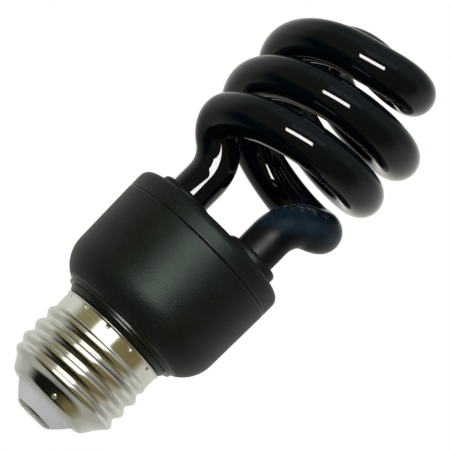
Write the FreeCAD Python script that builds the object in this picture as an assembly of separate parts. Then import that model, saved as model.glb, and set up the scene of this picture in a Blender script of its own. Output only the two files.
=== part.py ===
import FreeCAD, Part
import math
import os
from FreeCAD import Vector

os.makedirs("parts", exist_ok=True)

# Spiral compact fluorescent lamp with a black glass coil and a 26 mm screw base.
# The lamp axis is Z, the tip of the centre contact is the origin and the coil points up.
# The legs of the coil stand on the X axis. All sizes are in millimetres and degrees.

# Centre contact, a domed eyelet riveted through the insulator
contact_radius = 4.8
contact_flat_radius = 3.2
contact_rise = 0.8
eyelet_length = 5.2
eyelet_radius = 1.3
eyelet_bore_radius = 0.7

# Insulator cone, moulded in the mouth of the screw shell
cone_radius = 8.0
cone_height = 3.55
cone_bulge = 0.1
insulator_depth = 1.6

# Screw shell, rolled and crimped from thin plated brass
shell_wall = 0.3
lip_width = 0.35
lip_round = 1.8
shoulder_angle = 32.0
shoulder_height = 2.65
thread_major_diameter = 26.2
thread_depth = 0.95
thread_pitch = 3.629
thread_length = 14.0
thread_lead_in = 2.6
thread_run_out = 2.2
thread_start_angle = 120.0
thread_bands_per_turn = 8
sew_tolerance = 0.001
skirt_height = 3.2
skirt_inset = 0.65
rim_flare = 0.43
rim_flare_height = 0.8
crimp_count = 12
crimp_radius = 0.7
crimp_depth = 0.3
crimp_below_rim = 0.9
crimp_start_angle = 5.0

# Ballast housing, the lower half of the moulded case
plastic_wall = 1.6
neck_ring_height = 1.2
neck_ring_flare = 0.55
neck_ring_undercut = 0.3
neck_groove_height = 0.45
neck_groove_depth = 0.5
neck_land_height = 0.6
neck_land_round = 0.2
step_radius = 14.5
housing_round = 8.3
housing_radius = 19.25
housing_draft = 0.35
housing_height = 22.65
seam_round = 0.35
spigot_length = 13.6
spigot_wall = 1.4
rib_count = 4
rib_width = 1.6
rib_height = 7.0
rib_reach = 1.6

# Tube cover, the upper half that holds the glass
cover_height = 4.85
cover_edge_round = 1.9
cover_lip_wall = 1.2
collar_height = 2.6
collar_wall = 1.6
collar_round = 0.9
latch_count = 4
latch_width = 5.0
latch_height = 1.4
latch_depth = 0.5
latch_below_seam = 1.6

# Spiral tube, bent as one length of glass from leg to leg
tube_diameter = 9.5
leg_margin = 0.3
leg_depth = 5.95
leg_end_round = 2.4
elbow_height = 7.6
elbow_turn = 37.0
coil_radius = 16.8
coil_height = 16.85
coil_turn = 471.0
coil_bends = 9
half_turn_rise = 11.65
crown_rise = 5.55
coil_lean = 7.5
lean_heading = 104.0

# Cement that beds each leg in the cover
cement_depth = 2.2

# Circuit board and the leads that pass through it
board_thickness = 1.6
board_drop = 4.1
lead_radius = 0.35
lead_stub = 0.8
post_width = 0.9
post_height = 2.6
post_half_gap = 2.6
seal_half_gap = 1.2
shell_lead_radius = 9.0
shell_lead_angle = 275.0

# Clearances
seat_gap = 0.05
slip_gap = 0.15
board_gap = 0.3
hole_gap = 0.1

# Ballast layout on the board seen from above, drawn for a board of this radius over this free depth
layout_radius = 17.35
layout_depth = 16.95
post_reach = 13.9
capacitor_spot = (7.2, -6.4)
choke_spot = (-7.0, -3.0)
toroid_spot = (-3.6, 9.8)
transistor_spots = ((4.2, 11.2), (9.8, 8.0))
film_spot = (6.0, 3.2)
inductor_spot = (-11.5, 6.2)
diode_count = 4
diode_ring_radius = 13.9
diode_first_angle = 233.0
diode_step_angle = 14.4

# Smoothing capacitor, a round can
can_radius = 5.0
can_height = 15.0
can_chamfer = 0.6
can_groove = 0.4
can_groove_height = 2.2
can_lead_spacing = 5.0

# Resonance choke, a closed ferrite core round a pinned bobbin
core_width = 12.0
core_depth = 5.5
core_height = 11.0
core_leg = 1.7
core_window = 2.6
bobbin_wall = 0.6
bobbin_flange = 0.7
bobbin_reach = 5.3
bobbin_pin_spacing = 5.0
winding_round = 1.2

# Drive transformer, a small ring core with three windings
toroid_outer_radius = 4.4
toroid_inner_radius = 2.4
toroid_height = 3.8
wire_layer = 0.5
toroid_winding_count = 3
toroid_winding_angle = 64.0

# Transistors, with a flat on one side
transistor_radius = 2.3
transistor_flat = 1.3
transistor_height = 4.6
transistor_stand = 2.6
transistor_pitch = 1.27

# Film capacitor, a dipped block
film_length = 8.0
film_width = 4.0
film_height = 7.0
film_round = 1.2
film_lead_spacing = 5.0

# Filter inductor, a sleeved drum
drum_radius = 2.9
drum_height = 7.5
drum_chamfer = 0.5
drum_lead_spacing = 2.6

# Axial components that stand on end, each with one lead bent back up in a given direction
fuse_spot = (12.7, 2.2)
fuse_heading = 100.0
resistor_spot = (-0.6, 4.4)
resistor_heading = 180.0
diac_spot = (-9.6, 11.4)
diac_heading = 220.0
stand_gap = 1.0
hairpin_width = 2.6
hairpin_drop = 1.0
diode_radius = 1.35
diode_length = 5.0
fuse_radius = 1.5
fuse_length = 7.0
resistor_radius = 1.1
resistor_length = 5.5
diac_radius = 0.9
diac_length = 4.0

# Heights along the axis, from the contact up
lip_z = contact_rise + cone_height
thread_z = lip_z + shoulder_height
skirt_z = thread_z + thread_length
rim_z = skirt_z + skirt_height
ring_top_z = rim_z + neck_ring_height
groove_top_z = ring_top_z + neck_groove_height
step_z = groove_top_z + neck_land_height
seam_z = step_z + housing_height
cover_z = seam_z + cover_height
plate_z = cover_z - plastic_wall
board_z = seam_z - board_drop
board_low_z = board_z - board_thickness
leg_end_z = cover_z - leg_depth
coil_z = cover_z + coil_height

# Radii shared by pieces that fit each other
tube_radius = tube_diameter / 2
collar_radius = tube_radius + slip_gap + collar_wall
thread_radius = thread_major_diameter / 2
thread_root_radius = thread_radius - thread_depth
skirt_radius = thread_radius - skirt_inset
rim_radius = skirt_radius + rim_flare
lip_arc_radius = cone_radius + lip_width
crimp_z = rim_z - crimp_below_rim
crimp_centre_radius = skirt_radius + crimp_radius - crimp_depth
crimp_seat_radius = skirt_radius - crimp_depth - shell_wall - seat_gap
spigot_radius = thread_root_radius - shell_wall - slip_gap
case_radius = housing_radius + housing_draft
case_bore_radius = housing_radius - plastic_wall
cover_lip_radius = case_bore_radius - slip_gap
board_radius = case_bore_radius - board_gap
leg_x = cover_lip_radius - cover_lip_wall - collar_radius - leg_margin
ballast_scale = min(board_radius / layout_radius, (board_low_z - step_z) / layout_depth)
wall_low_z = step_z + math.sqrt(housing_round**2 - (step_radius - housing_radius + housing_round)**2)


def polar(radius, angle, z=0.0):
    """Point at an angle round the lamp axis."""
    turn = math.radians(angle)
    return Vector(radius * math.cos(turn), radius * math.sin(turn), z)


def turned_about(solid, angle):
    """Copy of a solid turned round the lamp axis."""
    copy = solid.copy()
    copy.rotate(Vector(), Vector(0, 0, 1), angle)
    return copy


def outline(*steps):
    """Edges through points (r, z), where (mid r, mid z, r, z) is an arc through its middle point."""
    edges = []
    here = Vector(steps[0][0], 0, steps[0][1])
    for step in steps[1:]:
        there = Vector(step[-2], 0, step[-1])
        if len(step) == 4:
            edges.append(Part.Arc(here, Vector(step[0], 0, step[1]), there).toShape())
        else:
            edges.append(Part.LineSegment(here, there).toShape())
        here = there
    return edges


def turned(*steps):
    """Solid of revolution from a closed outline."""
    face = Part.Face(Part.Wire(outline(*steps, steps[0])))
    return face.revolve(Vector(), Vector(0, 0, 1), 360)


def bend(radius):
    """How far the middle of a quarter round lies inside the corner that it takes off."""
    return radius * (1 - math.sqrt(0.5))


def block(x, y, low, high, length, width):
    """Upright block centred on a point of the plan."""
    return Part.makeBox(length, width, high - low, Vector(x - length / 2, y - width / 2, low))


def rod(x, y, low, high, radius):
    """Upright round rod."""
    return Part.makeCylinder(radius, high - low, Vector(x, y, low))


def bent_wire(*points):
    """Round component lead along straight runs with mitred bends."""
    ring = Part.Wire(Part.makeCircle(lead_radius, points[0], points[1] - points[0]))
    return Part.makePolygon(points).makePipeShell([ring], True, False, 1)


def tangent_arc(start, heading, end):
    """Arc that leaves a point along a heading and ends at another point."""
    chord = end - start
    side = heading.cross(chord).cross(heading).normalize()
    radius = chord.dot(chord) / (2 * chord.dot(side))
    centre = start + side * radius
    middle = (start + end) * 0.5 - centre
    return Part.Arc(start, centre + middle.normalize() * radius, end).toShape()


def tangent_arcs(start, heading, end, arrival):
    """Two arcs that join two points with given directions and meet each other smoothly."""
    chord = end - start
    a = 2 * (1 - heading.dot(arrival))
    b = 2 * chord.dot(heading + arrival)
    reach = (math.sqrt(b * b + 4 * a * chord.dot(chord)) - b) / (2 * a)
    first_corner = start + heading * reach
    second_corner = end - arrival * reach
    joint = (first_corner + second_corner) * 0.5
    across = (second_corner - first_corner).normalize()
    return [tangent_arc(start, heading, joint), tangent_arc(joint, across, end)]


def leaned(point, heading):
    """Point and direction on the upright coil, moved to where the leaning coil has them."""
    foot = Vector(0, 0, cover_z)
    lean = FreeCAD.Rotation(polar(1, lean_heading + 90), coil_lean)
    return foot + lean.multVec(point - foot), lean.multVec(heading).normalize()


def coil_station(leg_angle, turn):
    """Point and direction on the helix of one strand, by its angle from the leg."""
    angle = leg_angle + turn
    point = polar(coil_radius, angle, coil_z + half_turn_rise * turn / 180)
    return leaned(point, polar(coil_radius, angle + 90, half_turn_rise / math.pi))


def crown_station(leg_angle, share):
    """Point and direction on the half circle from the end of the coil to its axis."""
    angle = leg_angle + coil_turn
    swing = angle + 180 * share
    climb = math.pi / 2 * share
    point = polar(coil_radius / 2, angle) + polar(coil_radius / 2, swing)
    point.z = coil_z + half_turn_rise * coil_turn / 180 + crown_rise * math.sin(climb)
    return leaned(point, polar(coil_radius / 2, swing + 90, crown_rise / 2 * math.cos(climb)))


def strand_path(leg_angle):
    """Edges of one strand, from the end of its leg to the middle of the crown."""
    foot = polar(leg_x, leg_angle, leg_end_z)
    elbow = polar(leg_x, leg_angle, cover_z + elbow_height)
    step = (coil_turn - elbow_turn) / coil_bends
    stations = [(elbow, Vector(0, 0, 1))]
    stations += [coil_station(leg_angle, elbow_turn + step * i) for i in range(coil_bends)]
    stations += [crown_station(leg_angle, share) for share in (0, 0.5, 1)]
    edges = [Part.LineSegment(foot, elbow).toShape()]
    for (start, heading), (end, arrival) in zip(stations, stations[1:]):
        edges += tangent_arcs(start, heading, end, arrival)
    return edges


def spiral_tube():
    """Both strands, swept from leg to leg as one closed glass body with rounded ends."""
    ring = Part.Wire(Part.makeCircle(tube_radius, Vector(leg_x, 0, leg_end_z)))
    path = strand_path(0) + strand_path(180)[::-1]
    tube = Part.Wire(path).makePipeShell([ring], True, True)
    ends = [e for e in tube.Edges if e.BoundBox.ZMax < leg_end_z + seat_gap]
    return tube.makeFillet(leg_end_round, ends)


def centre_contact():
    """Domed contact with the hollow eyelet that rivets it through the insulator."""
    width = contact_radius - contact_flat_radius
    dome = (width**2 + contact_rise**2) / (2 * contact_rise)
    half = math.asin(width / dome) / 2
    edge = (contact_flat_radius + dome * math.sin(half), dome - dome * math.cos(half))
    top_z = contact_rise + eyelet_length
    return turned(
        (0, 0),
        (contact_flat_radius, 0),
        (*edge, contact_radius, contact_rise),
        (eyelet_radius, contact_rise),
        (eyelet_radius, top_z),
        (eyelet_bore_radius, top_z),
        (eyelet_bore_radius, contact_rise),
        (0, contact_rise),
    )


def shoulder(offset):
    """Lip, curl and cone at the foot of the shell, moved into the metal by an offset."""
    angle = math.radians(90 - shoulder_angle)
    radius = lip_round - offset
    centre_z = lip_z + lip_round
    curl_mid = (lip_arc_radius + radius * math.sin(angle / 2), centre_z - radius * math.cos(angle / 2))
    curl_end = (lip_arc_radius + radius * math.sin(angle), centre_z - radius * math.cos(angle))
    cone_end = (curl_end[0] + (thread_z - curl_end[1]) / math.tan(angle), thread_z)
    return [(lip_arc_radius, lip_z + offset), (*curl_mid, *curl_end), cone_end]


def base_insulator():
    """Moulded cone that closes the mouth of the shell and carries the contact."""
    neck = cone_radius - seat_gap
    seat = [point[-2:] for point in shoulder(shell_wall + seat_gap)]
    top_z = thread_z + insulator_depth
    bore = eyelet_radius + hole_gap
    run = Vector(neck - contact_radius, 0, cone_height)
    bulge = Vector(run.z, 0, -run.x).normalize() * cone_bulge
    middle = Vector(contact_radius, 0, contact_rise) + run * 0.5 + bulge
    return turned(
        (bore, contact_rise),
        (contact_radius, contact_rise),
        (middle.x, middle.z, neck, lip_z),
        (neck, seat[0][1]),
        *seat,
        (seat[-1][0], top_z),
        (bore, top_z),
    )


def ease(share):
    """Smooth step from 0 to 1."""
    share = min(max(share, 0.0), 1.0)
    return share * share * (3 - 2 * share)


def thread_ring(z, inner):
    """Section of the rolled thread: a circle whose centre runs round the axis once a pitch.

    The eccentricity fades into the shoulder below and into the skirt above."""
    low = ease((z - thread_z) / thread_lead_in)
    high = ease((skirt_z - z) / thread_run_out)
    foot = shoulder(0)[-1][0]
    foot_wall = foot - shoulder(shell_wall)[-1][0]
    foot += (z - thread_z) * math.tan(math.radians(shoulder_angle))
    mean = thread_radius - thread_depth / 2
    radius = foot + (mean - foot) * low
    radius = skirt_radius + (radius - skirt_radius) * high
    wall = foot_wall + (shell_wall - foot_wall) * low
    angle = thread_start_angle + 360 * (z - thread_z) / thread_pitch
    centre = polar(thread_depth / 2 * low * high, angle, z)
    return Part.Wire(Part.makeCircle(radius - wall * inner, centre))


def thread_faces(inner):
    """Outer or inner surface of the rolled thread, as bands between its sections."""
    bands = round(thread_bands_per_turn * thread_length / thread_pitch)
    rings = [thread_ring(thread_z + thread_length * i / bands, inner) for i in range(bands + 1)]
    return Part.makeLoft(rings, False, True).Faces


def skirt(inset):
    """Plain skirt of the shell and its flared rim, moved towards the axis by an inset."""
    radius = skirt_radius - inset
    flare_z = rim_z - rim_flare_height
    flare_round = (rim_flare**2 + rim_flare_height**2) / (2 * rim_flare)
    turn = math.asin(rim_flare_height / flare_round) / 2
    middle = (radius + flare_round * (1 - math.cos(turn)), flare_z + flare_round * math.sin(turn))
    return [(radius, skirt_z), (radius, flare_z), (*middle, rim_radius - inset, rim_z)]


def screw_shell():
    """Thin rolled shell: curled lip, thread, plain skirt and a row of crimps near the rim."""
    sections = outline((cone_radius, lip_z), *shoulder(0))
    sections += outline((cone_radius, lip_z), (cone_radius, lip_z + shell_wall), *shoulder(shell_wall))
    sections += outline(*skirt(0)) + outline(*skirt(shell_wall))
    sections += outline((rim_radius, rim_z), (rim_radius - shell_wall, rim_z))
    faces = [edge.revolve(Vector(), Vector(0, 0, 1), 360) for edge in sections]
    shell = Part.makeCompound(faces + thread_faces(0) + thread_faces(1))
    shell.sewShape(sew_tolerance)
    solid = Part.Solid(shell.Shells[0])
    return solid.fuse(crimps(shell_wall)).cut(crimps(0))


def crimps(wall):
    """Round dents of the crimping punches, or with a wall the bumps that they raise inside."""
    core = rod(0, 0, skirt_z, rim_z, skirt_radius)
    dents = []
    for i in range(crimp_count):
        angle = crimp_start_angle + 360 * i / crimp_count
        ball = Part.makeSphere(crimp_radius + wall, polar(crimp_centre_radius, angle, crimp_z))
        dents.append(ball.common(core) if wall else ball)
    return dents


def ballast_housing():
    """Moulded bowl with the spigot that the screw shell is crimped on."""
    start_z = rim_z + seat_gap
    ring_low = rim_radius + seat_gap
    ring_high = ring_low + neck_ring_flare
    land = bend(neck_land_round)
    centre_r = housing_radius - housing_round
    low_turn = math.asin((step_radius - centre_r) / housing_round)
    turn = (low_turn + math.pi / 2) / 2
    outer_mid = (centre_r + housing_round * math.sin(turn), wall_low_z - housing_round * math.cos(turn))
    inner_round = housing_round - plastic_wall
    inner_mid = (centre_r + inner_round * math.sin(turn), wall_low_z - inner_round * math.cos(turn))
    inner_low_z = wall_low_z - inner_round * math.cos(low_turn)
    inner_low = (centre_r + inner_round * math.sin(low_turn), inner_low_z)
    bore = spigot_radius - spigot_wall
    bowl = turned(
        (bore, start_z - spigot_length),
        (spigot_radius, start_z - spigot_length),
        (spigot_radius, skirt_z),
        (crimp_seat_radius, skirt_z),
        (crimp_seat_radius, start_z),
        (ring_low - neck_ring_undercut, start_z),
        (ring_low, start_z + neck_ring_undercut),
        (ring_high, ring_top_z),
        (ring_high - neck_groove_depth, ring_top_z),
        (ring_high - neck_groove_depth, groove_top_z),
        (step_radius - neck_land_round, groove_top_z),
        (step_radius - land, groove_top_z + land, step_radius, groove_top_z + neck_land_round),
        (step_radius, step_z),
        (*outer_mid, housing_radius, wall_low_z),
        (case_radius, seam_z - seam_round),
        (case_radius - bend(seam_round), seam_z - bend(seam_round), case_radius - seam_round, seam_z),
        (case_bore_radius, seam_z),
        (case_bore_radius, wall_low_z),
        (*inner_mid, *inner_low),
        (bore, inner_low_z),
    )
    ribs = [turned_about(board_rib(), 360 * i / rib_count) for i in range(rib_count)]
    pockets = [turned_about(latch(slip_gap), latch_angle(i)) for i in range(latch_count)]
    return bowl.fuse(ribs).cut(pockets).removeSplitter()


def board_rib():
    """Rib inside the bowl, with the board lying on its top end."""
    inner = board_radius - rib_reach
    outer = case_bore_radius + plastic_wall / 2
    middle = (inner + outer) / 2
    return block(middle, 0, board_low_z - rib_height, board_low_z, outer - inner, rib_width)


def latch_angle(index):
    """Angle of a latch, midway between two ribs."""
    return 360 * (index + 0.5) / latch_count


def latch(gap):
    """Wedge that snaps under the edge of its pocket, grown by a gap for the pocket itself."""
    top_z = seam_z - latch_below_seam + gap
    low_z = top_z - latch_height - 2 * gap
    inner = cover_lip_radius - cover_lip_wall / 2
    outer = case_bore_radius + latch_depth + gap
    corners = [(inner, low_z), (cover_lip_radius + gap, low_z), (outer, top_z), (inner, top_z)]
    wedge = Part.Face(Part.Wire(outline(*corners, corners[0])))
    wedge.translate(Vector(0, latch_width / 2 + gap, 0))
    return wedge.extrude(Vector(0, -latch_width - 2 * gap, 0))


def collar():
    """Raised ring round a leg, with a rounded edge."""
    top_z = cover_z + collar_height
    inset = bend(collar_round)
    ring = turned(
        (0, plate_z),
        (collar_radius, plate_z),
        (collar_radius, top_z - collar_round),
        (collar_radius - inset, top_z - inset, collar_radius - collar_round, top_z),
        (0, top_z),
    )
    ring.translate(Vector(leg_x, 0, 0))
    return ring


def tube_cover():
    """Moulded lid with a collar for each leg and a lip that latches inside the bowl."""
    inset = bend(cover_edge_round)
    lip_bore = cover_lip_radius - cover_lip_wall
    lid = turned(
        (0, cover_z),
        (case_radius - cover_edge_round, cover_z),
        (case_radius - inset, cover_z - inset, case_radius, cover_z - cover_edge_round),
        (case_radius, seam_z + seam_round),
        (case_radius - bend(seam_round), seam_z + bend(seam_round), case_radius - seam_round, seam_z),
        (cover_lip_radius, seam_z),
        (cover_lip_radius, board_z + seat_gap),
        (lip_bore, board_z + seat_gap),
        (lip_bore, plate_z),
        (0, plate_z),
    )
    hole = rod(leg_x, 0, plate_z, cover_z + collar_height, tube_radius + slip_gap)
    collars = [turned_about(collar(), angle) for angle in (0, 180)]
    holes = [turned_about(hole, angle) for angle in (0, 180)]
    latches = [turned_about(latch(0), latch_angle(i)) for i in range(latch_count)]
    return lid.fuse(collars + latches).cut(holes).removeSplitter()


def tube_cement():
    """Ring of cement under the lid round each leg."""
    ring = rod(leg_x, 0, plate_z - cement_depth, plate_z, collar_radius)
    ring = ring.cut(rod(leg_x, 0, plate_z - cement_depth, plate_z, tube_radius))
    return Part.makeCompound([ring, turned_about(ring, 180)])


def spaced(spot, spacing, count, pitch_angle=0):
    """Points in a row, centred on a spot of the board."""
    turn = math.radians(pitch_angle)
    shifts = [spacing * (i - (count - 1) / 2) for i in range(count)]
    return [(spot[0] + s * math.cos(turn), spot[1] + s * math.sin(turn)) for s in shifts]


def outward(spot):
    """Angle of a spot of the board, seen from its centre."""
    return math.degrees(math.atan2(spot[1], spot[0]))


def hairpin(spot, heading):
    """The two lead holes of an axial component that stands on end."""
    back = polar(hairpin_width, heading)
    return [spot, (spot[0] + back.x, spot[1] + back.y)]


def diode_places():
    """Spot of each rectifier diode near the edge of the board, with its lead bent inwards."""
    angles = [diode_first_angle + diode_step_angle * i for i in range(diode_count)]
    points = [polar(diode_ring_radius, angle) for angle in angles]
    return [((p.x, p.y), angle + 180) for p, angle in zip(points, angles)]


def standing_places():
    """Spot and heading of every axial component that stands on end."""
    single = [(fuse_spot, fuse_heading), (resistor_spot, resistor_heading), (diac_spot, diac_heading)]
    return single + diode_places()


def post_spots():
    """Places of the wire posts, two beyond each leg."""
    x = post_reach * ballast_scale
    return [(side * x, across * post_half_gap) for side in (1, -1) for across in (1, -1)]


def bobbin_pin_spots():
    """Places of the four bobbin pins, in two rows beside the core."""
    row = (core_depth / 2 + bobbin_reach) / 2
    x, y = choke_spot
    return [p for side in (1, -1) for p in spaced((x, y + side * row), bobbin_pin_spacing, 2)]


def toroid_lead_spots():
    """Places of the leads of the ring core's windings, one at the middle of each winding."""
    radius = toroid_outer_radius + seat_gap + wire_layer - lead_radius
    turns = [360 * i / toroid_winding_count for i in range(toroid_winding_count)]
    points = [polar(radius, turn) for turn in turns]
    return [(toroid_spot[0] + p.x, toroid_spot[1] + p.y) for p in points]


def lead_spots():
    """Places of every lead of the ballast, as the layout has them."""
    spots = spaced(capacitor_spot, can_lead_spacing, 2)
    spots += spaced(film_spot, film_lead_spacing, 2)
    spots += spaced(inductor_spot, drum_lead_spacing, 2)
    spots += bobbin_pin_spots() + toroid_lead_spots()
    for spot in transistor_spots:
        spots += spaced(spot, transistor_pitch, 3, outward(spot) + 90)
    for spot, heading in standing_places():
        spots += hairpin(spot, heading)
    return spots


def circuit_board():
    """Round board, drilled for every lead and post."""
    board = rod(0, 0, board_low_z, board_z, board_radius)
    spots = [(x * ballast_scale, y * ballast_scale) for x, y in lead_spots()]
    spots += [(0, 0), tuple(polar(shell_lead_radius, shell_lead_angle))[:2]]
    radius = lead_radius * max(ballast_scale, 1) + hole_gap
    holes = [rod(*spot, board_low_z, board_z, radius) for spot in spots]
    slot = post_width + 2 * hole_gap
    holes += [block(x, y, board_low_z, board_z, slot, slot) for x, y in post_spots()]
    return board.cut(holes)


def board_lead(spot, low):
    """Straight lead that rises through the board."""
    return rod(*spot, low, board_z + lead_stub, lead_radius)


def wire_posts():
    """Square posts that the tube's wires are wrapped on."""
    low = board_low_z - lead_stub
    high = board_z + post_height
    return Part.makeCompound([block(*p, low, high, post_width, post_width) for p in post_spots()])


def filament_leads():
    """Wires from the sealed leg ends to the posts."""
    wires = []
    run_z = board_z + post_height / 2
    for x, y in post_spots():
        side = math.copysign(1, x)
        seal = Vector(side * leg_x, math.copysign(seal_half_gap, y), leg_end_z)
        corner = Vector(seal.x, seal.y, run_z)
        post = Vector(x - side * (post_width / 2 + lead_radius), y, run_z)
        wires.append(bent_wire(seal, corner, post))
    return Part.makeCompound(wires)


def contact_lead():
    """Straight wire on the axis from the board into the eyelet of the contact."""
    return board_lead((0, 0), contact_rise + seat_gap)


def shell_lead():
    """Wire that drops past the spigot and turns out to the wall of the shell."""
    run_z = (rim_z + seat_gap - spigot_length + thread_z + insulator_depth) / 2
    top = polar(shell_lead_radius, shell_lead_angle, board_z + lead_stub)
    corner = polar(shell_lead_radius, shell_lead_angle, run_z)
    tip = polar(spigot_radius, shell_lead_angle, run_z)
    return bent_wire(top, corner, tip)


def hung(body, spot):
    """Body modelled with its top face at zero, moved under the board."""
    body.translate(Vector(*spot, board_low_z))
    return body


def fitted(body):
    """Ballast part of the layout, scaled from the underside of the board to the room that it has."""
    return body.scaled(ballast_scale, Vector(0, 0, board_low_z))


def smoothing_capacitor():
    """Aluminium can with a rolled groove near the board and two leads."""
    groove_z = -can_groove_height
    can = turned(
        (0, 0),
        (can_radius, 0),
        (can_radius, groove_z + can_groove),
        (can_radius - can_groove, groove_z),
        (can_radius, groove_z - can_groove),
        (can_radius, can_chamfer - can_height),
        (can_radius - can_chamfer, -can_height),
        (0, -can_height),
    )
    spots = spaced(capacitor_spot, can_lead_spacing, 2)
    leads = [board_lead(spot, board_low_z - can_groove) for spot in spots]
    return hung(can, capacitor_spot).fuse(leads)


def choke_core():
    """Closed ferrite core with two windows beside its middle leg."""
    x, y = choke_spot
    core = block(x, y, board_low_z - core_height, board_low_z, core_width, core_depth)
    reach = core_width / 2 - core_leg - core_window / 2
    low = board_low_z - core_height + core_leg
    high = board_low_z - core_leg
    windows = [block(x + side * reach, y, low, high, core_window, core_depth) for side in (1, -1)]
    return core.cut(windows)


def bobbin_hole():
    """Half length and half width of the bobbin's hole, which slips over the middle leg."""
    leg = core_width / 2 - core_leg - core_window
    return leg + slip_gap, core_depth / 2 + slip_gap


def choke_bobbin():
    """Flanged bobbin on the middle leg, with a pin rail on each side of the core."""
    x, y = choke_spot
    half_x, half_y = bobbin_hole()
    low = board_low_z - core_height + core_leg + slip_gap
    high = board_low_z - core_leg - slip_gap
    flange_x = core_width - 2 * core_leg - 2 * slip_gap
    sleeve = block(x, y, low, high, 2 * (half_x + bobbin_wall), 2 * (half_y + bobbin_wall))
    lower = block(x, y, low, low + bobbin_flange, flange_x, 2 * bobbin_reach)
    upper = block(x, y, high - bobbin_flange, high, flange_x, 2 * bobbin_reach)
    rail_width = bobbin_reach - half_y
    rail_y = half_y + rail_width / 2
    rails = [block(x, y + s * rail_y, high, board_low_z, flange_x, rail_width) for s in (1, -1)]
    pins = [board_lead(p, high) for p in bobbin_pin_spots()]
    hole = block(x, y, low, high, 2 * half_x, 2 * half_y)
    return sleeve.fuse([lower, upper] + rails).cut(hole).fuse(pins).removeSplitter()


def choke_winding():
    """Wire wound between the flanges, taken as one block with rounded corners."""
    x, y = choke_spot
    half_x, half_y = bobbin_hole()
    low = board_low_z - core_height + core_leg + slip_gap + bobbin_flange
    high = board_low_z - core_leg - slip_gap - bobbin_flange
    length = core_width - 2 * core_leg - 4 * slip_gap
    width = 2 * bobbin_reach - 2 * slip_gap
    coil = block(x, y, low, high, length, width)
    coil = coil.makeFillet(winding_round, upright_edges(coil))
    return coil.cut(block(x, y, low, high, 2 * (half_x + bobbin_wall), 2 * (half_y + bobbin_wall)))


def upright_edges(body):
    """Straight edges of a body that run along the axis."""
    edges = [e for e in body.Edges if isinstance(e.Curve, Part.Line)]
    return [e for e in edges if abs(e.tangentAt(e.FirstParameter).z) > 0.99]


def toroid_section(grow):
    """Corners of the ring core's section, grown by the layers round it."""
    inner = toroid_inner_radius - grow
    outer = toroid_outer_radius + grow
    high = -seat_gap - wire_layer + grow
    low = -seat_gap - wire_layer - toroid_height - grow
    return [(inner, low), (outer, low), (outer, high), (inner, high)]


def toroid_core():
    """Ferrite ring of the drive transformer."""
    return hung(turned(*toroid_section(0)), toroid_spot)


def toroid_windings():
    """Three short windings round the ring, each with a lead to the board."""
    corners = toroid_section(seat_gap + wire_layer)
    face = Part.Face(Part.Wire(outline(*corners, corners[0])))
    hollow = turned(*toroid_section(seat_gap))
    windings = []
    for i, spot in enumerate(toroid_lead_spots()):
        sleeve = face.revolve(Vector(), Vector(0, 0, 1), toroid_winding_angle)
        turn = 360 * i / toroid_winding_count - toroid_winding_angle / 2
        sleeve = turned_about(sleeve, turn).cut(hollow)
        lead = board_lead(spot, board_low_z - wire_layer)
        windings.append(hung(sleeve, toroid_spot).fuse(lead))
    return Part.makeCompound(windings)


def switching_transistors():
    """Pair of flat-sided transistors, each on three leads."""
    bodies = []
    high = board_low_z - transistor_stand
    low = high - transistor_height
    side = transistor_radius - transistor_flat
    spare = block(transistor_flat + side / 2, 0, low, high, side, 2 * transistor_radius)
    for spot in transistor_spots:
        turn = outward(spot)
        body = turned_about(rod(0, 0, low, high, transistor_radius).cut(spare), turn)
        body.translate(Vector(*spot, 0))
        leads = [board_lead(p, high) for p in spaced(spot, transistor_pitch, 3, turn + 90)]
        bodies.append(body.fuse(leads))
    return Part.makeCompound(bodies)


def film_capacitor():
    """Dipped film capacitor of the resonant circuit."""
    body = block(*film_spot, board_low_z - film_height, board_low_z, film_length, film_width)
    body = body.makeFillet(film_round, upright_edges(body))
    spots = spaced(film_spot, film_lead_spacing, 2)
    return body.fuse([board_lead(spot, board_low_z - film_round) for spot in spots])


def filter_inductor():
    """Drum inductor in a shrunk sleeve."""
    drum = turned(
        (0, 0),
        (drum_radius - drum_chamfer, 0),
        (drum_radius, -drum_chamfer),
        (drum_radius, drum_chamfer - drum_height),
        (drum_radius - drum_chamfer, -drum_height),
        (0, -drum_height),
    )
    spots = spaced(inductor_spot, drum_lead_spacing, 2)
    leads = [board_lead(spot, board_low_z - drum_chamfer) for spot in spots]
    return hung(drum, inductor_spot).fuse(leads)


def standing_axial(spot, heading, radius, length):
    """Round component on end: one lead straight up, the other bent back up beside it."""
    start, back = [Vector(*p, 0) for p in hairpin(spot, heading)]
    high = board_low_z - stand_gap
    low = high - length
    up = Vector(0, 0, 1)
    corner_z = low - hairpin_drop
    top_z = board_z + lead_stub
    body = rod(*spot, low, high, radius).fuse(board_lead(spot, high))
    tail = bent_wire(start + up * low, start + up * corner_z, back + up * corner_z, back + up * top_z)
    return body.fuse(tail)


def rectifier_diodes():
    """Four diodes of the bridge, on end along the edge of the board."""
    diodes = [standing_axial(*place, diode_radius, diode_length) for place in diode_places()]
    return Part.makeCompound(diodes)


def fuse_resistor():
    """Fusible resistor in the mains line."""
    return standing_axial(fuse_spot, fuse_heading, fuse_radius, fuse_length)


def start_resistor():
    """Resistor that charges the starting circuit."""
    return standing_axial(resistor_spot, resistor_heading, resistor_radius, resistor_length)


def trigger_diac():
    """Small glass diac that starts the oscillation."""
    return standing_axial(diac_spot, diac_heading, diac_radius, diac_length)


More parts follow.
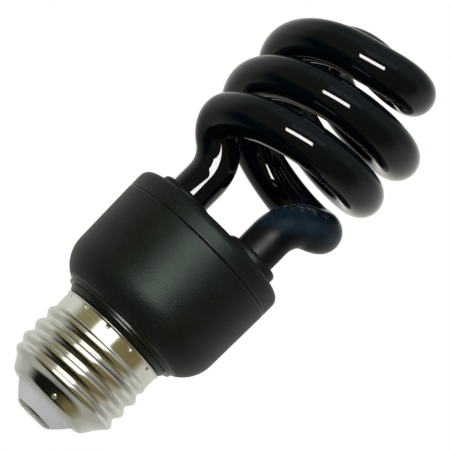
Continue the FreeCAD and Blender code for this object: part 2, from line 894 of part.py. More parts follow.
case_parts = (
    centre_contact,
    base_insulator,
    screw_shell,
    ballast_housing,
    tube_cover,
    tube_cement,
    spiral_tube,
    circuit_board,
    wire_posts,
    filament_leads,
    contact_lead,
    shell_lead,
)
ballast_parts = (
    smoothing_capacitor,
    choke_core,
    choke_bobbin,
    choke_winding,
    toroid_core,
    toroid_windings,
    switching_transistors,
    film_capacitor,
    filter_inductor,
    rectifier_diodes,
    fuse_resistor,
    start_resistor,
    trigger_diac,
)
solids = {maker.__name__: maker() for maker in case_parts}
solids.update({maker.__name__: fitted(maker()) for maker in ballast_parts})
for name, solid in solids.items():
    solid.exportStep("parts/" + name + ".step")
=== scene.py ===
import math

import bmesh
import bpy
from mathutils import Matrix, Vector


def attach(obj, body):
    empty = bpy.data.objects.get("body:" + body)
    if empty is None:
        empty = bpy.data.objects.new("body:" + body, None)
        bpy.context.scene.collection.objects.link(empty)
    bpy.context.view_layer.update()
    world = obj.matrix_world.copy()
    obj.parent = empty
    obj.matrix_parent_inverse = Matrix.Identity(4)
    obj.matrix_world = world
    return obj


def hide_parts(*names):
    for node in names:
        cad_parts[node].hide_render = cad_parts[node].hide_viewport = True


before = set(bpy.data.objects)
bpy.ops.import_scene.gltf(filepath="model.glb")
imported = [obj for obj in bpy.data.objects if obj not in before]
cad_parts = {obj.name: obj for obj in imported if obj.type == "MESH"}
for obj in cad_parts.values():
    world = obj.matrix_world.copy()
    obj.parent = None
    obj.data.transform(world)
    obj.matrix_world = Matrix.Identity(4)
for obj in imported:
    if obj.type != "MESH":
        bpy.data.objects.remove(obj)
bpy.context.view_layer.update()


# Centre contact: a low dome of tinned brass at the tip of the base, pressed from sheet
# and riveted through the insulator by its own hollow eyelet.

class Tone:
    """A socket of a finish. Sums on it add Math nodes, and node() adds any other node."""

    def __init__(self, socket):
        self.socket = socket

    def node(self, kind, settings, sockets, out=0):
        tree = self.socket.id_data
        made = tree.nodes.new("ShaderNode" + kind)
        for name, value in settings.items():
            setattr(made, name, value)
        for name, value in sockets.items():
            if isinstance(value, Tone):
                tree.links.new(value.socket, made.inputs[name])
            else:
                made.inputs[name].default_value = value
        return Tone(made.outputs[out])

    def math(self, operation, first, second):
        return self.node("Math", {"operation": operation}, {0: first, 1: second})

    def __add__(self, other):
        return self.math("ADD", self, other)

    def __sub__(self, other):
        return self.math("SUBTRACT", self, other)

    def __rsub__(self, other):
        return self.math("SUBTRACT", other, self)

    def __mul__(self, other):
        return self.math("MULTIPLY", self, other)

    def __truediv__(self, other):
        return self.math("DIVIDE", self, other)

    __radd__ = __add__
    __rmul__ = __mul__


def start_finish(name, even):
    """A finish with the settings that are even all over, and the place on the piece in mm."""
    material = bpy.data.materials.new(name)
    material.use_nodes = True
    shader = material.node_tree.nodes["Principled BSDF"]
    for socket, value in even.items():
        shader.inputs[socket].default_value = value
    place = Tone(shader.outputs[0]).node("TexCoord", {}, {}, "Object")
    place = place.node("VectorMath", {"operation": "SCALE"}, {0: place, "Scale": 1000.0})
    return material, place


def close_finish(material, changing):
    """Links what changes over the surface to the shader."""
    shader = material.node_tree.nodes["Principled BSDF"]
    for socket, tone in changing.items():
        material.node_tree.links.new(tone.socket, shader.inputs[socket])
    return material


def mottle(place, size, detail=2.0, stretch=(1.0, 1.0, 1.0)):
    """Soft irregular patches of about a size in mm, stretched along an axis by a small factor."""
    spread = place.node("VectorMath", {"operation": "MULTIPLY"}, {0: place, 1: stretch})
    return place.node("TexNoise", {}, {"Vector": spread, "Scale": 1.0 / size, "Detail": detail})


def rise(tone, low, high):
    """Smooth step from 0 at low to 1 at high."""
    return tone.node(
        "MapRange",
        {"interpolation_type": "SMOOTHSTEP"},
        {"Value": tone, "From Min": low, "From Max": high},
    )


def dye(mask, under, over):
    """Colour under a mask where it is 0 and over it where it is 1."""
    return mask.node("Mix", {"data_type": "RGBA"}, {0: mask, 6: under, 7: over}, 2)


def relief(height, depth):
    """Bump of a height between 0 and 1, with its depth in mm."""
    bump = {"Strength": 1.0, "Distance": depth / 1000.0, "Height": height}
    return height.node("Bump", {}, bump)


def axes(place):
    """The three coordinates of a place."""
    return [place.node("SeparateXYZ", {}, {"Vector": place}, axis) for axis in "XYZ"]


def off_axis(place):
    """Distance of a place from the lamp axis."""
    flat = place.node("VectorMath", {"operation": "MULTIPLY"}, {0: place, 1: (1.0, 1.0, 0.0)})
    return place.node("VectorMath", {"operation": "LENGTH"}, {0: flat}, "Value")


def coat_node(node, material):
    """Gives a CAD node its finish."""
    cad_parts[node].material_slots[0].material = material


tin_bright = (0.70, 0.69, 0.66, 1.0)
tin_dull = (0.34, 0.32, 0.29, 1.0)
contact_metal, place = start_finish("contact_metal", {"Metallic": 1.0})
worn = rise(mottle(place, 0.9, 4.0), 0.42, 0.68)
turned_marks = mottle(off_axis(place), 0.12, 1.0)
close_finish(contact_metal, {
    "Base Color": dye(worn, tin_bright, tin_dull),
    "Roughness": 0.16 + 0.16 * worn,
    "Normal": relief(turned_marks * 0.6 + worn * 0.4, 0.005),
})
coat_node("centre_contact", contact_metal)


# Insulator: a light grey cone moulded in the mouth of the shell, which holds the contact
# away from the metal. It is matt, with a faint flow of darker filler in it.

filler_light = (0.66, 0.675, 0.655, 1.0)
filler_dark = (0.58, 0.595, 0.575, 1.0)
insulator, place = start_finish("insulator", {"IOR": 1.5})
cloud = rise(mottle(place, 2.6, 3.0, (1.0, 1.0, 0.5)), 0.35, 0.7)
pores = rise(mottle(place, 0.16, 2.0), 0.6, 0.75)
close_finish(insulator, {
    "Base Color": dye(cloud * 0.6 + pores * 0.25, filler_light, filler_dark),
    "Roughness": 0.48 + 0.14 * cloud,
    "Normal": relief(1.0 - pores * 0.7 - cloud * 0.2, 0.02),
})
coat_node("base_insulator", insulator)


# Screw shell: brass sheet drawn to a cup, rolled with its round thread and nickel-plated.
# Punch dents under the rim crimp it on the housing, and a dot of solder holds the side wire.

shell_wall = 0.3
lip_radius = 8.0
lip_arc_radius = 8.35
lip_z = 4.35
lip_round = 1.8
shoulder_turn = math.radians(58.0)
thread_z = 7.0
thread_length = 14.0
thread_pitch = 3.629
thread_depth = 0.95
thread_mean_radius = 12.625
thread_start = math.radians(120.0)
thread_lead_in = 2.6
thread_run_out = 2.2
skirt_z = 21.0
skirt_radius = 12.45
rim_z = 24.2
rim_flare = 0.43
rim_flare_height = 0.8
crimp_count = 12
crimp_start = math.radians(5.0)
crimp_z = 23.3
crimp_reach = 0.72
crimp_depth = 0.3
solder_spot = (2.8, -9.76, 5.66)
solder_reach = 0.6
solder_height = 0.28
shell_segments = 240
rings_per_pitch = 26
skirt_rings = 14
flare_rings = 10
curl_rings = 10
cone_rings = 8
fine_cuts = 3
fine_reach = 1.6
sheet_reach = 2.0


def polar(radius, angle, z=0.0):
    """Point at an angle round the lamp axis."""
    return Vector((radius * math.cos(angle), radius * math.sin(angle), z))


def ease(share):
    """Smooth step from 0 to 1."""
    share = min(max(share, 0.0), 1.0)
    return share * share * (3.0 - 2.0 * share)


def shoulder_sections():
    """Lip, curl and cone of the shell, as radius and centre of each ring."""
    rings = [(lip_radius, Vector((0, 0, lip_z)))]
    for i in range(curl_rings + 1):
        turn = shoulder_turn * i / curl_rings
        height = lip_z + lip_round * (1.0 - math.cos(turn))
        rings.append((lip_arc_radius + lip_round * math.sin(turn), Vector((0, 0, height))))
    radius, centre = rings[-1]
    for i in range(1, cone_rings):
        climb = (thread_z - centre.z) * i / cone_rings
        wider = radius + climb / math.tan(shoulder_turn)
        rings.append((wider, centre + Vector((0, 0, climb))))
    return rings


def thread_sections():
    """Rings of the rolled thread, whose centre runs round the axis once a pitch."""
    cone_radius, cone_centre = shoulder_sections()[-1]
    foot = cone_radius + (thread_z - cone_centre.z) / math.tan(shoulder_turn)
    count = round(rings_per_pitch * thread_length / thread_pitch)
    rings = []
    for i in range(count + 1):
        height = thread_length * i / count
        low = ease(height / thread_lead_in)
        high = ease((thread_length - height) / thread_run_out)
        cone = foot + height / math.tan(shoulder_turn)
        radius = cone + (thread_mean_radius - cone) * low
        radius = skirt_radius + (radius - skirt_radius) * high
        angle = thread_start + 2.0 * math.pi * height / thread_pitch
        throw = thread_depth / 2 * low * high
        rings.append((radius, polar(throw, angle, thread_z + height)))
    return rings


def skirt_sections():
    """Plain skirt, and the rim that is flared out at its top."""
    flare_z = rim_z - rim_flare_height
    flare_round = (rim_flare**2 + rim_flare_height**2) / (2.0 * rim_flare)
    flare_turn = math.asin(rim_flare_height / flare_round)
    rings = []
    for i in range(1, skirt_rings + 1):
        height = skirt_z + (flare_z - skirt_z) * i / skirt_rings
        rings.append((skirt_radius, Vector((0, 0, height))))
    for i in range(1, flare_rings + 1):
        turn = flare_turn * i / flare_rings
        out = flare_round * (1.0 - math.cos(turn))
        height = flare_z + flare_round * math.sin(turn)
        rings.append((skirt_radius + out, Vector((0, 0, height))))
    return rings


def raise_wall(mesh, sections, segments):
    """Extrudes a circle from section to section."""
    radius, centre = sections[0]
    verts = bmesh.ops.create_circle(mesh, segments=segments, radius=radius)["verts"]
    bmesh.ops.translate(mesh, verts=verts, vec=centre)
    edges = list(mesh.edges)
    for next_radius, next_centre in sections[1:]:
        made = bmesh.ops.extrude_edge_only(mesh, edges=edges)["geom"]
        verts = [g for g in made if isinstance(g, bmesh.types.BMVert)]
        edges = [g for g in made if isinstance(g, bmesh.types.BMEdge) and g.is_boundary]
        size = next_radius / radius
        space = Matrix.Translation(-centre)
        bmesh.ops.scale(mesh, verts=verts, vec=(size, size, 1.0), space=space)
        bmesh.ops.translate(mesh, verts=verts, vec=next_centre - centre)
        radius, centre = next_radius, next_centre


def push_sheet(mesh, spot, push, reach):
    """Pushes a round place of the sheet in or out, after making the mesh finer there."""
    zone = reach * fine_reach
    edges = [e for e in mesh.edges if all((v.co - spot).length < zone for v in e.verts)]
    bmesh.ops.subdivide_edges(mesh, edges=edges, cuts=fine_cuts, use_grid_fill=True)
    way = push.normalized()
    for vert in mesh.verts:
        away = vert.co - spot
        side = (away - way * away.dot(way)).length
        if away.length < sheet_reach * reach and side < reach:
            vert.co += push * (1.0 - ease(side / reach))


def press_crimps(mesh):
    """Presses the ring of punch dents into the sheet under the rim."""
    for i in range(crimp_count):
        angle = crimp_start + 2.0 * math.pi * i / crimp_count
        spot = polar(skirt_radius, angle, crimp_z)
        push_sheet(mesh, spot, polar(-crimp_depth, angle), crimp_reach)


def finish_mesh(name, mesh, material):
    """Turns a mesh in millimetres into a smooth piece in metres."""
    bmesh.ops.scale(mesh, verts=mesh.verts, vec=(0.001, 0.001, 0.001))
    for face in mesh.faces:
        face.smooth = True
    data = bpy.data.meshes.new(name)
    mesh.to_mesh(data)
    mesh.free()
    data.materials.append(material)
    piece = bpy.data.objects.new(name, data)
    bpy.context.scene.collection.objects.link(piece)
    return piece


nickel_bright = (0.91, 0.895, 0.86, 1.0)
nickel_warm = (0.76, 0.72, 0.64, 1.0)
nickel_plate, place = start_finish("nickel_plate", {"Metallic": 1.0})
handling = rise(mottle(place, 3.5, 4.0, (1.0, 1.0, 0.6)), 0.42, 0.72)
rolling = mottle(place, 0.35, 3.0, (0.06, 0.06, 1.0))
drawn = mottle(place, 4.0, 1.0)
specks = rise(mottle(place, 0.22, 1.0), 0.66, 0.74)
close_finish(nickel_plate, {
    "Base Color": dye(handling * 0.6 + specks * 0.4, nickel_bright, nickel_warm),
    "Roughness": 0.14 + 0.04 * handling + 0.03 * rolling,
    "Normal": relief(drawn * 0.93 + rolling * 0.07, 0.06),
})
mesh = bmesh.new()
raise_wall(mesh, shoulder_sections() + thread_sections() + skirt_sections(), shell_segments)
press_crimps(mesh)
solder = Vector(solder_spot)
solder_angle = math.atan2(solder.y, solder.x)
solder_way = polar(math.sin(shoulder_turn), solder_angle, -math.cos(shoulder_turn))
push_sheet(mesh, solder, solder_way * solder_height, solder_reach)
bmesh.ops.recalc_face_normals(mesh, faces=mesh.faces)
shell = finish_mesh("rolled_screw_shell", mesh, nickel_plate)
wall = shell.modifiers.new("sheet", "SOLIDIFY")
wall.thickness = shell_wall / 1000.0
wall.offset = -1.0
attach(shell, "root")
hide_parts("screw_shell")


# Case: two mouldings of black plastic with a fine spark-eroded grain. The bowl sits on the
# screw shell, and the tube cover snaps into it at the seam, with a collar round each leg.

case_black = (0.0034, 0.0046, 0.0040, 1.0)
case_bloom = (0.0056, 0.0072, 0.0063, 1.0)
case_dust = (0.07, 0.07, 0.066, 1.0)
neck_top_z = 26.9
seam_z = 49.1
seam_edge = 0.45
seam_polish = 0.3
neck_polish = 0.45
grain_depth = 0.05
grain_loss = 1.6
case_plastic, place = start_finish(
    "case_plastic",
    {
        "IOR": 1.5,
        "Specular IOR Level": 0.25,
        "Specular Tint": (0.80, 1.0, 0.87, 1.0),
        "Coat Roughness": 0.20,
        "Coat IOR": 1.5,
    },
)
height = axes(place)[2]
grain = mottle(place, 0.24, 3.0)
bloom = rise(mottle(place, 7.0, 3.0), 0.38, 0.68)
rub = rise(mottle(place, 1.4, 4.0, (1.0, 1.0, 0.35)), 0.62, 0.78)
dust = rise(mottle(place, 0.2, 0.0), 0.76, 0.80)
from_seam = height.node("Math", {"operation": "ABSOLUTE"}, {0: height - seam_z})
seam = 1.0 - rise(from_seam, seam_edge - 0.15, seam_edge + 0.05)
neck = 1.0 - rise(height, neck_top_z - 0.1, neck_top_z + 0.2)
polished = seam.math("MAXIMUM", seam * seam_polish, neck * neck_polish)
plastic = dye(bloom * 0.7 + rub * 0.3, case_black, case_bloom)
close_finish(case_plastic, {
    "Base Color": dye(dust * 0.5, plastic, case_dust),
    "Roughness": 0.41 + 0.05 * bloom - 0.05 * rub,
    "Coat Weight": polished,
    "Normal": relief(grain * (1.0 - grain_loss * polished), grain_depth),
})
for node in ("ballast_housing", "tube_cover"):
    coat_node(node, case_plastic)


# Ballast board: pale paper laminate, drilled for every lead. It rests on ribs in the bowl
# and carries the four wire posts, and all the leads are soldered to it.

laminate_pale = (0.55, 0.42, 0.22, 1.0)
laminate_dark = (0.40, 0.28, 0.13, 1.0)
board, place = start_finish("board", {"IOR": 1.5})
along_fibres = mottle(place, 1.2, 4.0, (0.25, 1.0, 1.0))
cross_fibres = mottle(place, 1.2, 4.0, (1.0, 0.25, 1.0))
fibres = along_fibres * 0.5 + cross_fibres * 0.5
flecks = rise(mottle(place, 0.35, 2.0), 0.62, 0.72)
close_finish(board, {
    "Base Color": dye(
        rise(fibres, 0.4, 0.62) * 0.8 + flecks * 0.2, laminate_pale, laminate_dark
    ),
    "Roughness": 0.46 + 0.2 * fibres,
    "Normal": relief(fibres, 0.02),
})
coat_node("circuit_board", board)


def wire_finish(name, bright, dull, rough):
    """Drawn wire: fine lines along the draw, and patches where it has dulled."""
    material, place = start_finish(name, {"Metallic": 1.0})
    drawn = mottle(place, 0.08, 2.0, (1.0, 1.0, 0.1))
    dulled = rise(mottle(place, 1.1, 3.0), 0.4, 0.65)
    return close_finish(material, {
        "Base Color": dye(dulled * 0.7 + drawn * 0.2, bright, dull),
        "Roughness": rough + 0.2 * dulled,
        "Normal": relief(drawn, 0.006),
    })


wire_bright = (0.72, 0.71, 0.68, 1.0)
wire_dull = (0.42, 0.41, 0.38, 1.0)
tinned_wire = wire_finish("tinned_wire", wire_bright, wire_dull, 0.22)
for node in ("wire_posts", "filament_leads", "contact_lead", "shell_lead"):
    coat_node(node, tinned_wire)


# Ballast parts: they hang under the board by their leads. The choke is a ferrite core with a
# wound bobbin, and round it stand the capacitors, the drive ring, the transistors and diodes.

copper_bright = (0.62, 0.24, 0.09, 1.0)
copper_dark = (0.22, 0.07, 0.03, 1.0)
wire_pitch = 0.32
band_at_full_scale = 0.314
copper_wire, place = start_finish("copper_wire", {"Metallic": 0.85})
turns = place.node(
    "TexWave",
    {"bands_direction": "Z"},
    {"Vector": place, "Scale": band_at_full_scale / wire_pitch, "Distortion": 0.6, "Detail": 1.0},
)
varnish = rise(mottle(place, 1.6, 3.0), 0.4, 0.65)
close_finish(copper_wire, {
    "Base Color": dye(turns * 0.55 + varnish * 0.35, copper_dark, copper_bright),
    "Roughness": 0.24 + 0.16 * varnish,
    "Normal": relief(turns, 0.12),
})
for node in ("choke_winding", "toroid_windings"):
    coat_node(node, copper_wire)


def body_finish(name, clean, stained, rough, patch, depth):
    """Moulded, dipped or pressed body: broad patches, fine pores and a little relief."""
    material, place = start_finish(name, {"IOR": 1.5})
    broad = rise(mottle(place, patch, 3.0), 0.38, 0.66)
    fine = rise(mottle(place, patch / 9.0, 2.0), 0.55, 0.75)
    return close_finish(material, {
        "Base Color": dye(broad * 0.65 + fine * 0.35, clean, stained),
        "Roughness": rough + 0.12 * broad + 0.1 * fine,
        "Normal": relief(1.0 - 0.6 * fine - 0.3 * broad, depth),
    })


bodies = {
    "choke_core": (
        "ferrite", (0.030, 0.028, 0.027, 1.0), (0.070, 0.062, 0.056, 1.0), 0.55, 1.8, 0.04,
    ),
    "toroid_core": (
        "ferrite_ring", (0.11, 0.17, 0.10, 1.0), (0.07, 0.10, 0.06, 1.0), 0.38, 1.2, 0.02,
    ),
    "choke_bobbin": (
        "bobbin", (0.035, 0.034, 0.034, 1.0), (0.075, 0.072, 0.070, 1.0), 0.42, 2.4, 0.02,
    ),
    "smoothing_capacitor": (
        "can_sleeve", (0.028, 0.034, 0.060, 1.0), (0.052, 0.060, 0.095, 1.0), 0.28, 3.0, 0.02,
    ),
    "film_capacitor": (
        "film_coat", (0.30, 0.055, 0.028, 1.0), (0.20, 0.032, 0.018, 1.0), 0.24, 2.2, 0.05,
    ),
    "filter_inductor": (
        "drum_sleeve", (0.022, 0.024, 0.024, 1.0), (0.048, 0.050, 0.050, 1.0), 0.36, 2.0, 0.03,
    ),
    "switching_transistors": (
        "transistor_case", (0.020, 0.020, 0.021, 1.0), (0.046, 0.046, 0.047, 1.0), 0.5, 1.4, 0.02,
    ),
    "rectifier_diodes": (
        "diode_case", (0.020, 0.021, 0.022, 1.0), (0.060, 0.062, 0.064, 1.0), 0.44, 1.0, 0.02,
    ),
    "fuse_resistor": (
        "fuse_coat", (0.30, 0.32, 0.30, 1.0), (0.20, 0.23, 0.21, 1.0), 0.46, 1.1, 0.04,
    ),
    "start_resistor": (
        "resistor_coat", (0.50, 0.38, 0.22, 1.0), (0.36, 0.25, 0.13, 1.0), 0.34, 1.0, 0.03,
    ),
    "trigger_diac": (
        "diac_glass", (0.16, 0.24, 0.42, 1.0), (0.10, 0.15, 0.27, 1.0), 0.14, 0.9, 0.01,
    ),
    "tube_cement": (
        "cement", (0.62, 0.60, 0.55, 1.0), (0.44, 0.41, 0.36, 1.0), 0.74, 1.5, 0.12,
    ),
}
for node, values in bodies.items():
    coat_node(node, body_finish(*values))


# Spiral tube: black glass tube bent hot into two legs, a double coil that leans a little and
# an S-shaped crown. It is cemented in the cover, and its skin is smooth and very glossy.

tube_radius = 4.75
tube_segments = 72
bend_step = math.radians(3.0)
join_distance = 0.0001
leg_x = 9.5
leg_end_z = 48.0
leg_end_round = 2.4
leg_end_segments = 6
cover_z = 53.95
elbow_z = 61.55
elbow_turn = 37.0
coil_radius = 16.8
coil_z = 70.8
coil_turn = 471.0
coil_bends = 9
half_turn_rise = 11.65
crown_rise = 5.55
coil_lean = math.radians(7.5)
lean_heading = math.radians(104.0)


def leaned(point, heading):
    """Point and direction on the upright coil, moved to where the leaning coil has them."""
    foot = Vector((0, 0, cover_z))
    lean = Matrix.Rotation(coil_lean, 3, polar(1.0, lean_heading + math.pi / 2))
    return foot + lean @ (point - foot), (lean @ heading).normalized()


def coil_station(leg_angle, turn):
    """Point and direction on the helix of one strand, by its angle in degrees from the leg."""
    angle = leg_angle + math.radians(turn)
    point = polar(coil_radius, angle, coil_z + half_turn_rise * turn / 180.0)
    return leaned(point, polar(coil_radius, angle + math.pi / 2, half_turn_rise / math.pi))


def crown_station(leg_angle, share):
    """Point and direction on the half circle from the end of the coil to its axis."""
    angle = leg_angle + math.radians(coil_turn)
    swing = angle + math.pi * share
    climb = math.pi / 2 * share
    point = polar(coil_radius / 2, angle) + polar(coil_radius / 2, swing)
    point.z = coil_z + half_turn_rise * coil_turn / 180.0 + crown_rise * math.sin(climb)
    heading = polar(coil_radius / 2, swing + math.pi / 2, crown_rise / 2 * math.cos(climb))
    return leaned(point, heading)


def strand_stations(leg_angle):
    """Stations of one strand, from the top of its leg to the middle of the crown."""
    step = (coil_turn - elbow_turn) / coil_bends
    leg_top = (polar(leg_x, leg_angle, elbow_z), Vector((0, 0, 1)))
    coil = [coil_station(leg_angle, elbow_turn + step * i) for i in range(coil_bends)]
    crown = [crown_station(leg_angle, share) for share in (0.0, 0.5, 1.0)]
    return [leg_top] + coil + crown


def rim_of(made):
    """The open edge of what an operator has just drawn."""
    return [g for g in made if isinstance(g, bmesh.types.BMEdge) and g.is_boundary]


def draw_straight(mesh, edges, run):
    """Draws the tube on along a straight run."""
    made = bmesh.ops.extrude_edge_only(mesh, edges=edges)["geom"]
    verts = [g for g in made if isinstance(g, bmesh.types.BMVert)]
    bmesh.ops.translate(mesh, verts=verts, vec=run)
    return rim_of(made)


def draw_bend(mesh, edges, start, heading, end):
    """Draws the tube on along the arc that leaves start along a heading and meets end."""
    chord = end - start
    side = (chord - heading * chord.dot(heading)).normalized()
    radius = chord.length_squared / (2.0 * chord.dot(side))
    angle = 2.0 * chord.angle(heading)
    steps = max(2, math.ceil(angle / bend_step))
    made = bmesh.ops.spin(
        mesh,
        geom=edges + list({v for e in edges for v in e.verts}),
        cent=start + side * radius,
        axis=heading.cross(side),
        angle=angle,
        steps=steps,
    )["geom_last"]
    return [g for g in made if isinstance(g, bmesh.types.BMEdge)]


def draw_between(mesh, edges, start, heading, end, arrival):
    """Draws the tube on by two arcs that meet smoothly between two stations."""
    chord = end - start
    spread = 2.0 * (1.0 - heading.dot(arrival))
    pull = 2.0 * chord.dot(heading + arrival)
    root = math.sqrt(pull * pull + 4.0 * spread * chord.length_squared)
    reach = (root - pull) / (2.0 * spread)
    first = start + heading * reach
    second = end - arrival * reach
    joint = (first + second) / 2.0
    edges = draw_bend(mesh, edges, start, heading, joint)
    return draw_bend(mesh, edges, joint, (second - first).normalized(), end)


def close_leg(mesh, edges):
    """Seals the end of a leg and rounds it over."""
    face = bmesh.ops.contextual_create(mesh, geom=edges)["faces"][0]
    bmesh.ops.bevel(
        mesh,
        geom=list(face.edges),
        offset=leg_end_round,
        segments=leg_end_segments,
        profile=0.5,
        affect="EDGES",
        material=-1,
    )


glass_black = (0.0006, 0.0030, 0.0050, 1.0)
# The cobalt blue is partly the tint of the dusty haze on the right elbow and partly a painted
# blue sheen on its top.
glass_cobalt_sheen = (0.0100, 0.0270, 0.0470, 1.0)
glass_dust = (0.060, 0.062, 0.066, 1.0)
glass_scuff = (0.15, 0.17, 0.18, 1.0)
leg_side = (3.0, 6.5)
leg_front = (-12.0, -8.0)
haze_end = (73.0, 79.0)
foot_end = (60.0, 64.5)
elbow_slope = 0.8
painted_sheen_edge = (52.5, 58.0)
scuff_edge = (60.8, 62.2)
scuff_end = (3.0, 6.0)
black_glass, place = start_finish(
    "black_glass",
    {
        "IOR": 1.33,
        "Specular IOR Level": 0.25,
        "Coat IOR": 1.25,
        "Coat Roughness": 0.03,
    },
)
across, depth, height = axes(place)
right_leg = rise(across, *leg_side) * rise(depth, *leg_front)
hazed = right_leg * (1.0 - rise(height, *haze_end))
foot = right_leg * (1.0 - rise(height, *foot_end))
slant = height - across * elbow_slope
elbow_top = hazed * rise(slant, *scuff_edge) * (1.0 - rise(depth, *scuff_end))
cloud = rise(mottle(place, 5.0, 4.0), 0.40, 0.66)
lint = rise(mottle(place, 0.8, 4.0, (0.35, 1.0, 0.6)), 0.54, 0.66)
dust = rise(mottle(place, 0.18, 0.0), 0.78, 0.82)
# Blue painted on the top of the right elbow, where the lamps fall on it: partly the tint of its
# dusty haze, partly a painted blue sheen. Its lower part and foot stay black.
tint_and_painted_sheen = hazed * (1.0 - foot) * rise(slant, *painted_sheen_edge)
glass = dye(tint_and_painted_sheen * (0.55 + 0.45 * cloud), glass_black, glass_cobalt_sheen)
glass = dye(elbow_top * lint * 0.8, glass, glass_scuff)
close_finish(black_glass, {
    "Base Color": dye(dust * 0.25, glass, glass_dust),
    "Roughness": 0.03 + 0.02 * cloud + 0.22 * hazed + 0.17 * foot,
    "Coat Weight": 1.0 - hazed,
    "Normal": relief(mottle(place, 9.0, 1.0), 0.006),
})
mesh = bmesh.new()
bmesh.ops.create_circle(mesh, segments=tube_segments, radius=tube_radius)
bmesh.ops.translate(mesh, verts=mesh.verts, vec=(leg_x, 0, leg_end_z))
foot_edges = list(mesh.edges)
leg_run = Vector((0, 0, elbow_z - leg_end_z))
edges = draw_straight(mesh, foot_edges, leg_run)
way_down = [(point, -heading) for point, heading in reversed(strand_stations(math.pi))]
stations = strand_stations(0.0) + way_down[1:]
for (start, heading), (end, arrival) in zip(stations, stations[1:]):
    edges = draw_between(mesh, edges, start, heading, end, arrival)
last_edges = draw_straight(mesh, edges, -leg_run)
for edges in (foot_edges, last_edges):
    close_leg(mesh, edges)
bmesh.ops.remove_doubles(mesh, verts=mesh.verts, dist=join_distance)
bmesh.ops.recalc_face_normals(mesh, faces=mesh.faces)
tube = finish_mesh("bent_glass_tube", mesh, black_glass)
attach(tube, "root")
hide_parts("spiral_tube")


# Floor: a plain white card under the lamp, lit softly, that fades out into the white room.
# Only its upper side shows, because the camera looks up from just below it.

floor_radius = 0.20
floor_z = -0.0001
floor_fade = (0.03, 0.19)
floor_shade = 0.5
floor_segments = 96
paper_white = (0.86, 0.86, 0.86, 1.0)
full_white = (1.0, 1.0, 1.0, 1.0)
mesh = bmesh.new()
bmesh.ops.create_circle(
    mesh, cap_ends=True, segments=floor_segments, radius=floor_radius * 1000.0
)
bmesh.ops.translate(mesh, verts=mesh.verts, vec=(0, 0, floor_z * 1000.0))
card = bpy.data.materials.new("white_card")
card.use_nodes = True
card.node_tree.nodes.remove(card.node_tree.nodes["Principled BSDF"])
output = card.node_tree.nodes["Material Output"]
start = Tone(output.inputs["Surface"])
place = start.node("TexCoord", {}, {}, "Object")
from_lamp = place.node("VectorMath", {"operation": "LENGTH"}, {0: place}, "Value")
seen = start.node("LightPath", {}, {}, "Is Camera Ray")
paper = start.node("BsdfDiffuse", {}, {"Color": paper_white})
white = start.node("Emission", {}, {"Color": full_white, "Strength": 1.0})
shade = floor_shade * (1.0 - rise(from_lamp, *floor_fade))
surface = start.node("MixShader", {}, {0: 1.0 - (1.0 - shade) * seen, 1: white, 2: paper})
below = start.node("NewGeometry", {}, {}, "Backfacing")
clear = start.node("BsdfTransparent", {}, {})
surface = start.node("MixShader", {}, {0: below, 1: surface, 2: clear})
card.node_tree.links.new(surface.socket, output.inputs["Surface"])
floor = finish_mesh("floor_card", mesh, card)
floor.visible_glossy = False
floor.visible_diffuse = False


# Camera: far off and a little below the tip of the base, looking up along the lamp and rolled
# so that the lamp lies across the picture with its base at the lower left.

view_turn = math.radians(13.8)
view_rise = math.radians(8.1)
view_roll = math.radians(45.208)
view_range = 0.650
view_target = Vector((0, 0, 0.054))
pixels_per_mm = 4.735
picture_width = 450.0
target_pixel = (212.464, 234.296)
right = Vector((math.cos(view_turn), math.sin(view_turn), 0.0))
level = Vector((-math.sin(view_turn), math.cos(view_turn), 0.0))
ahead = level * math.cos(view_rise) + Vector((0, 0, math.sin(view_rise)))
up = right.cross(ahead)
frame_right = right * math.sin(view_roll) + up * math.cos(view_roll)
frame_up = up * math.sin(view_roll) - right * math.cos(view_roll)
camera_data = bpy.data.cameras.new("camera")
camera_data.lens = pixels_per_mm * view_range * 1000.0 * camera_data.sensor_width / picture_width
camera_data.clip_start = 0.01
camera_data.shift_x = 0.5 - target_pixel[0] / picture_width
camera_data.shift_y = target_pixel[1] / picture_width - 0.5
camera = bpy.data.objects.new("camera", camera_data)
turn = Matrix((frame_right, frame_up, -ahead)).transposed().to_4x4()
camera.matrix_world = Matrix.Translation(view_target - ahead * view_range) @ turn
bpy.context.scene.collection.objects.link(camera)
bpy.context.scene.camera = camera


# Light: a strip lamp by the camera, bright for the glass and weaker for the case, a tall soft
# box for the nickel and a broad soft lamp at the left. The room is white behind the lamp.

def soft_lamp(name, turn, climb, tilt, distance, size, radiance):
    """Flat soft lamp that faces the object, placed by its angles from the camera's side."""
    level_side = -level * math.cos(turn) + right * math.sin(turn)
    toward = level_side * math.cos(climb) + Vector((0, 0, math.sin(climb)))
    wide = toward.cross(Vector((0, 0, -1))).normalized()
    wide = Matrix.Rotation(tilt, 3, toward) @ wide
    data = bpy.data.lights.new(name, "AREA")
    data.shape = "RECTANGLE"
    data.size, data.size_y = size
    data.energy = radiance * math.pi * data.size * data.size_y
    lamp = bpy.data.objects.new(name, data)
    aim = Matrix((wide, toward.cross(wide), toward)).transposed().to_4x4()
    lamp.matrix_world = Matrix.Translation(view_target + toward * distance) @ aim
    bpy.context.scene.collection.objects.link(lamp)
    return lamp


def light_only(lamp, pieces, state):
    """Lets a lamp light only some pieces, or all but these."""
    group = bpy.data.collections.new(lamp.name + "_pieces")
    lamp.light_linking.receiver_collection = group
    for piece in pieces:
        group.objects.link(piece)
    for member in group.collection_objects:
        member.light_linking.link_state = state


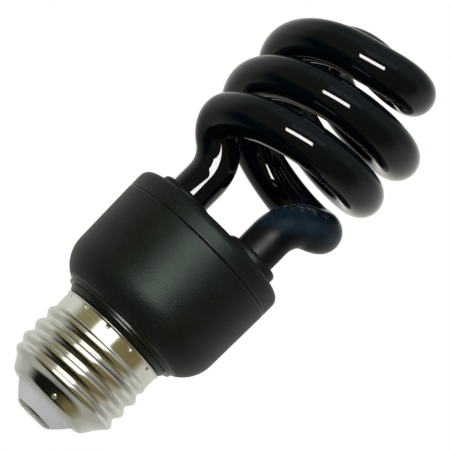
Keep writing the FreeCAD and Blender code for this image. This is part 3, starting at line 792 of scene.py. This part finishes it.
key_turn = math.radians(-3.0)
key_tilt = math.radians(18.0)
key_distance = 0.50
key_size = (0.29, 0.125)
glass_lamp = soft_lamp("glass_lamp", key_turn, 0.0, key_tilt, key_distance, key_size, 40.0)
light_only(glass_lamp, [tube], "INCLUDE")
case_lamp = soft_lamp("case_lamp", key_turn, 0.0, key_tilt, key_distance, key_size, 13.5)
light_only(case_lamp, [tube, shell], "EXCLUDE")
glint_size = (0.11, 0.06)
glint_lamp = soft_lamp("glint_lamp", key_turn, 0.0, key_tilt, key_distance, glint_size, 36.0)
light_only(glint_lamp, [tube, shell], "EXCLUDE")
high_climb = math.radians(33.0)
high_distance = 0.60
high_size = (0.42, 0.22)
high_lamp = soft_lamp("high_lamp", key_turn, high_climb, key_tilt, high_distance, high_size, 0.5)
high_lamp.data.color = (0.62, 0.74, 1.0)
nickel_turn = math.radians(-12.0)
nickel_climb = math.radians(18.0)
nickel_distance = 0.7
nickel_size = (0.62, 1.2)
nickel_lamp = soft_lamp(
    "nickel_lamp", nickel_turn, nickel_climb, 0.0, nickel_distance, nickel_size, 1.25
)
light_only(nickel_lamp, [shell], "INCLUDE")
for lamp in (glass_lamp, case_lamp, glint_lamp, high_lamp, nickel_lamp):
    lamp.visible_diffuse = False
side_turn = math.radians(-42.0)
side_climb = math.radians(24.0)
side_distance = 0.8
side_size = (0.6, 0.6)
side_lamp = soft_lamp("side_lamp", side_turn, side_climb, 0.0, side_distance, side_size, 2.0)
side_lamp.visible_glossy = False

world = bpy.data.worlds.new("white_room")
world.use_nodes = True
bpy.context.scene.world = world
backdrop = world.node_tree.nodes["Background"]
start = Tone(backdrop.outputs[0])
toward = start.node("TexCoord", {}, {}, "Generated")


def along(direction):
    """How far a direction of the room lies along another."""
    product = {"operation": "DOT_PRODUCT"}
    return toward.node("VectorMath", product, {0: toward, 1: direction}, "Value")


room_olive = (0.23, 0.20, 0.095, 1.0)
room_brown = (0.17, 0.14, 0.060, 1.0)
room_black = (0.004, 0.005, 0.004, 1.0)
room_pale = (0.62, 0.63, 0.58, 1.0)
room_shade = (0.36, 0.37, 0.33, 1.0)
room_dim = (0.20, 0.21, 0.19, 1.0)
room_low = (0.60, 0.60, 0.60, 1.0)
room_high = (0.95, 0.95, 0.95, 1.0)
across = along(right)
height = along(up)
front = dye(rise(across, -0.5, 0.6), room_olive, room_brown)
front = dye(rise(height, 0.35, 0.8), front, room_shade)
front = dye(rise(height + across * 0.3, -0.58, -0.80), front, room_black)
back = dye(rise(height, -0.15, -0.75), room_pale, room_shade)
back = dye(rise(height, 0.15, 0.75), back, room_dim)
room = dye(rise(along(ahead), -0.30, 0.20), front, back)
mirrored = start.node("LightPath", {}, {}, "Is Glossy Ray")
seen = start.node("LightPath", {}, {}, "Is Camera Ray")
soft_room = dye(rise(height, -0.8, 0.8), room_low, room_high)
room = dye(mirrored, soft_room, room)
room = dye(seen, room, full_white)
world.node_tree.links.new(room.socket, backdrop.inputs["Color"])

bpy.context.scene.view_settings.view_transform = "Standard"
